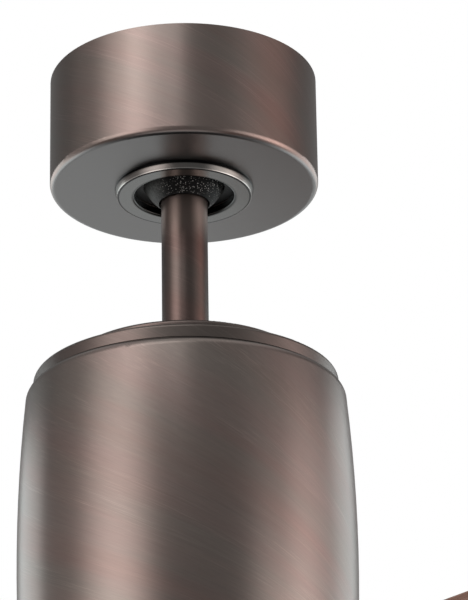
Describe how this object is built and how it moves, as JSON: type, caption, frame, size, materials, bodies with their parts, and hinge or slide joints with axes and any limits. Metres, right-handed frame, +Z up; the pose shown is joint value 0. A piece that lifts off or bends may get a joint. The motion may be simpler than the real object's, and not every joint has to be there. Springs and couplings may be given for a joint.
{
  "type": "ceiling fan",
  "caption": "Ceiling fan with a cylindrical canopy, ball-hung downrod, barrel-shaped motor housing and long pitched blades under it.",
  "frame": {"origin": "centre of the mounting plate's top face, on the ceiling", "axes": "+Z up; +X along the line of the two mounting slots; the picture looks along +Y from below"},
  "size_m": [1.2362, 1.1847, 0.416],
  "materials": {
    "bronze": "brushed oil-rubbed bronze, satin",
    "pale_bronze": "satin bronze",
    "ball_black": "speckled black, semi-gloss",
    "blade_brown": "reddish brown, satin",
    "black_steel": "black powder coat",
    "zinc_steel": "zinc plated",
    "dark_screw": "dark bronze plated",
    "cast_metal": "cast, matt",
    "core_steel": "stacked laminations",
    "copper_wire": "enamelled copper wire",
    "black_rubber": "matt",
    "black_plastic": "fine grain",
    "ground_green": "green plated"
  },
  "bodies": {
    "ceiling_mount": {"hanger_bracket": "black_steel", "ground_screw": "ground_green", "canopy": "bronze", "canopy_screws": "dark_screw", "canopy_trim_ring": "pale_bronze"},
    "hanging_assembly": {"hanger_ball": "ball_black", "ball_cross_pin": "zinc_steel", "ball_set_screw": "zinc_steel", "downrod": "bronze", "motor_coupling": "cast_metal", "clevis_pin": "zinc_steel", "hairpin_clip": "zinc_steel", "coupling_set_screws": "zinc_steel", "coupling_lock_nuts": "zinc_steel", "coupling_cover": "bronze", "cover_gasket": "black_rubber", "top_cap": "bronze", "cap_screws": "dark_screw", "housing_shell": "bronze", "housing_screws": "dark_screw", "motor_shaft": "zinc_steel", "stator_core": "core_steel", "stator_windings": "copper_wire", "bearing_inner_races": "zinc_steel", "shaft_circlips": "dark_screw", "switch_plate": "zinc_steel", "plate_nuts": "zinc_steel", "switch_housing": "bronze", "switch_housing_screws": "dark_screw", "foot_cap": "bronze", "run_capacitor": "black_plastic", "reverse_switch_body": "black_plastic"},
    "rotor": {"rotor_upper_cover": "cast_metal", "rotor_lower_cover": "cast_metal", "rotor_ring": "core_steel", "rotor_cage": "cast_metal", "rotor_screws": "zinc_steel", "bearing_outer_races": "zinc_steel", "blade_hub": "bronze", "hub_screws": "zinc_steel", "arm_screws": "dark_screw", "blade_screws": "dark_screw", "blade_arm_1": "bronze", "blade_arm_2": "bronze", "blade_arm_3": "bronze", "blade_1": "blade_brown", "blade_2": "blade_brown", "blade_3": "blade_brown"},
    "bearing_cages": {"upper_bearing_balls": "zinc_steel", "lower_bearing_balls": "zinc_steel"},
    "switch_slider": {"reverse_switch_slider": "black_plastic"}
  },
  "joints": [
    {"name": "hanger_tilt", "type": "hinge", "parent": "ceiling_mount", "child": "hanging_assembly", "pos_m": [0, 0, -0.055], "axis": [1, 0, 0], "range_deg": [-20, 20]},
    {"name": "rotor_spin", "type": "hinge", "parent": "hanging_assembly", "child": "rotor", "pos_m": [0, 0, -0.323], "axis": [0, 0, 1], "continuous": true},
    {"name": "bearing_cage_spin", "type": "hinge", "parent": "hanging_assembly", "child": "bearing_cages", "pos_m": [0, 0, -0.323], "axis": [0, 0, 1], "continuous": true},
    {"name": "reverse_switch_slide", "type": "slide", "parent": "hanging_assembly", "child": "switch_slider", "axis": [1, 0, 0], "range_m": [0, 0.005]}
  ],
  "couplings": [
    {"joint": "bearing_cage_spin", "follows": "rotor_spin", "ratio": 0.6158}
  ]
}
